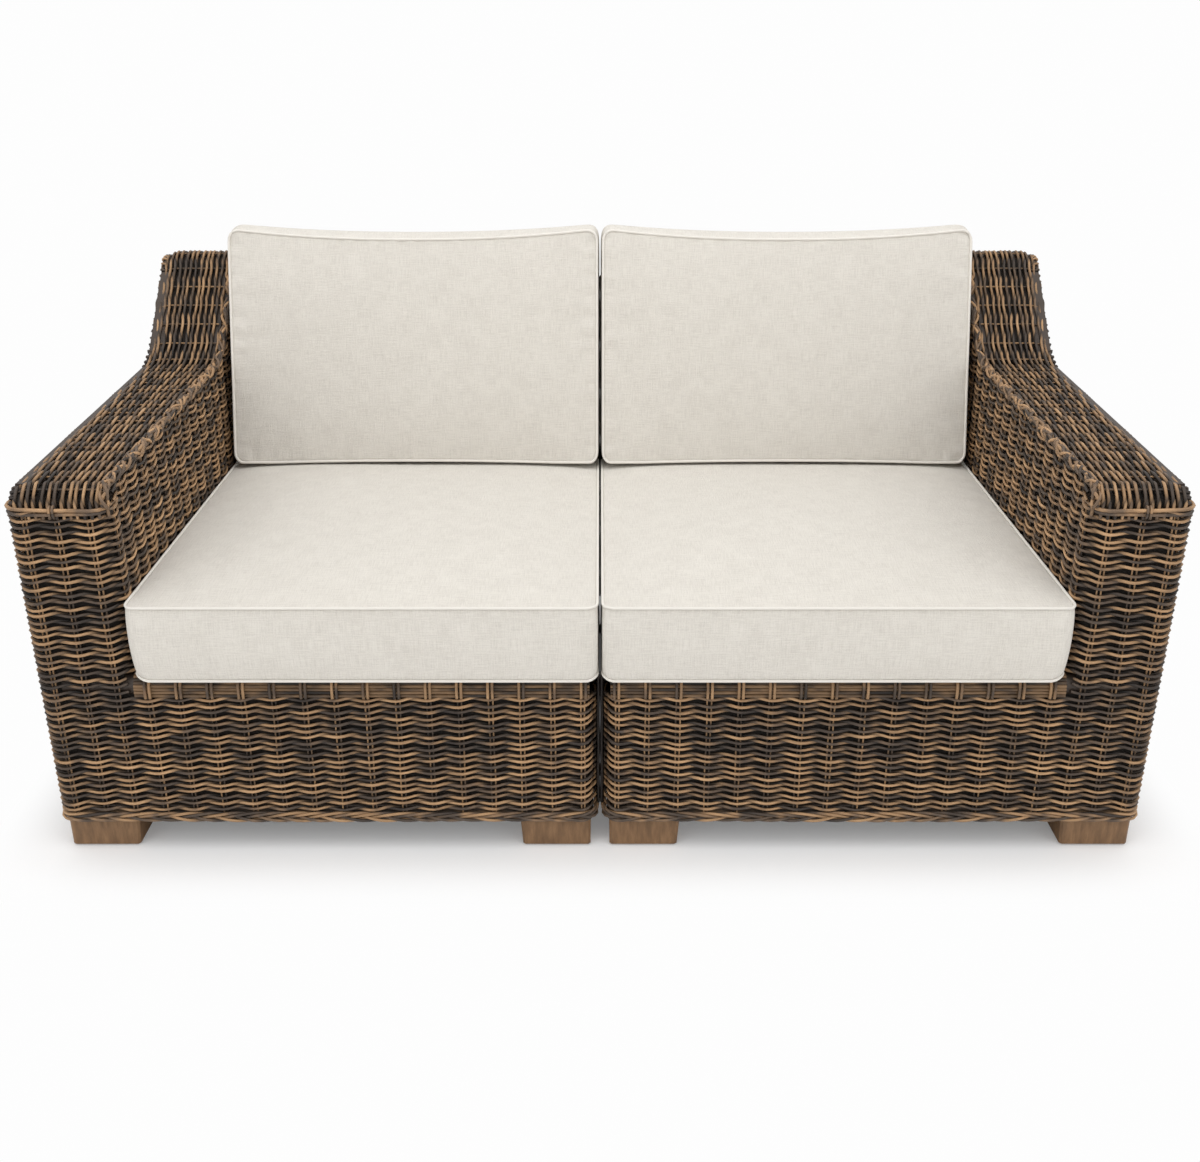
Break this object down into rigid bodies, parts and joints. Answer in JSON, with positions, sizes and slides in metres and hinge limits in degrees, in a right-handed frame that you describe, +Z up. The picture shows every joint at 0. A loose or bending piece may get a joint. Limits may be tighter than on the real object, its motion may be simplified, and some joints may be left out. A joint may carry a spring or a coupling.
{
  "type": "patio loveseat",
  "caption": "Low outdoor loveseat in woven wicker, built as mirrored modules that slide apart, with loose seat and back cushions and block feet.",
  "frame": {"origin": "on the floor, under the middle of the whole loveseat", "axes": "+X to the right as seen from the front, +Y to the rear, +Z up"},
  "size_m": [1.824, 0.958, 0.91],
  "materials": {
    "wicker": "satin woven strands",
    "frame": "brown powder coat",
    "wood": "stained and oiled",
    "glide": "matt",
    "steel": "zinc plated",
    "webbing": "woven",
    "cushion_fabric": "plain weave, matt",
    "foam": "open-cell foam, matt",
    "zip_tape": "woven tape with coil",
    "zip_metal": "satin"
  },
  "bodies": {
    "left_module": {"left_arm_frame": "frame", "left_arm_front_weave": "wicker", "left_arm_inner_weave": "wicker", "left_arm_top_weave": "wicker", "left_back_end_weave": "wicker", "left_back_face_weave": "wicker", "left_back_frame": "frame", "left_back_top_weave": "wicker", "left_base_frame": "frame", "left_bottom_braid": "wicker", "left_feet": "wood", "left_foot_bolts": "steel", "left_front_weave": "wicker", "left_glides": "glide", "left_inner_side_weave": "wicker", "left_link_tongue": "steel", "left_outer_side_weave": "wicker", "left_rear_weave": "wicker", "left_seat_border": "wicker", "left_seat_frame": "frame", "left_seat_webbing": "webbing"},
    "left_seat_cushion": {"left_seat_cushion_core": "foam", "left_seat_cushion_cover": "cushion_fabric", "left_seat_cushion_zip": "zip_tape"},
    "left_back_cushion": {"left_back_cushion_core": "foam", "left_back_cushion_cover": "cushion_fabric", "left_back_cushion_zip": "zip_tape"},
    "left_seat_zip_slider": {"left_seat_zip_slider": "zip_metal"},
    "left_back_zip_slider": {"left_back_zip_slider": "zip_metal"},
    "right_module": {"right_arm_frame": "frame", "right_arm_front_weave": "wicker", "right_arm_inner_weave": "wicker", "right_arm_top_weave": "wicker", "right_back_end_weave": "wicker", "right_back_face_weave": "wicker", "right_back_frame": "frame", "right_back_top_weave": "wicker", "right_base_frame": "frame", "right_bottom_braid": "wicker", "right_feet": "wood", "right_foot_bolts": "steel", "right_front_weave": "wicker", "right_glides": "glide", "right_inner_side_weave": "wicker", "right_link_jaw": "steel", "right_outer_side_weave": "wicker", "right_rear_weave": "wicker", "right_seat_border": "wicker", "right_seat_frame": "frame", "right_seat_webbing": "webbing"},
    "right_seat_cushion": {"right_seat_cushion_core": "foam", "right_seat_cushion_cover": "cushion_fabric", "right_seat_cushion_zip": "zip_tape"},
    "right_back_cushion": {"right_back_cushion_core": "foam", "right_back_cushion_cover": "cushion_fabric", "right_back_cushion_zip": "zip_tape"},
    "right_seat_zip_slider": {"right_seat_zip_slider": "zip_metal"},
    "right_back_zip_slider": {"right_back_zip_slider": "zip_metal"}
  },
  "joints": [
    {"name": "modules_apart", "type": "slide", "parent": "left_module", "child": "right_module", "axis": [1, 0, 0], "range_m": [0, 0.6]},
    {"name": "left_seat_cushion_lift", "type": "slide", "parent": "left_module", "child": "left_seat_cushion", "axis": [0, 0, 1], "range_m": [0, 0.25]},
    {"name": "left_back_cushion_lift", "type": "slide", "parent": "left_seat_cushion", "child": "left_back_cushion", "axis": [0, 0.2588, 0.9659], "range_m": [0, 0.25]},
    {"name": "left_seat_zip", "type": "slide", "parent": "left_seat_cushion", "child": "left_seat_zip_slider", "axis": [-1, 0, 0], "range_m": [0, 0.55]},
    {"name": "left_back_zip", "type": "slide", "parent": "left_back_cushion", "child": "left_back_zip_slider", "axis": [-1, 0, 0], "range_m": [0, 0.55]},
    {"name": "right_seat_cushion_lift", "type": "slide", "parent": "right_module", "child": "right_seat_cushion", "axis": [0, 0, 1], "range_m": [0, 0.25]},
    {"name": "right_back_cushion_lift", "type": "slide", "parent": "right_seat_cushion", "child": "right_back_cushion", "axis": [0, 0.2588, 0.9659], "range_m": [0, 0.25]},
    {"name": "right_seat_zip", "type": "slide", "parent": "right_seat_cushion", "child": "right_seat_zip_slider", "axis": [1, 0, 0], "range_m": [0, 0.55]},
    {"name": "right_back_zip", "type": "slide", "parent": "right_back_cushion", "child": "right_back_zip_slider", "axis": [1, 0, 0], "range_m": [0, 0.55]}
  ]
}
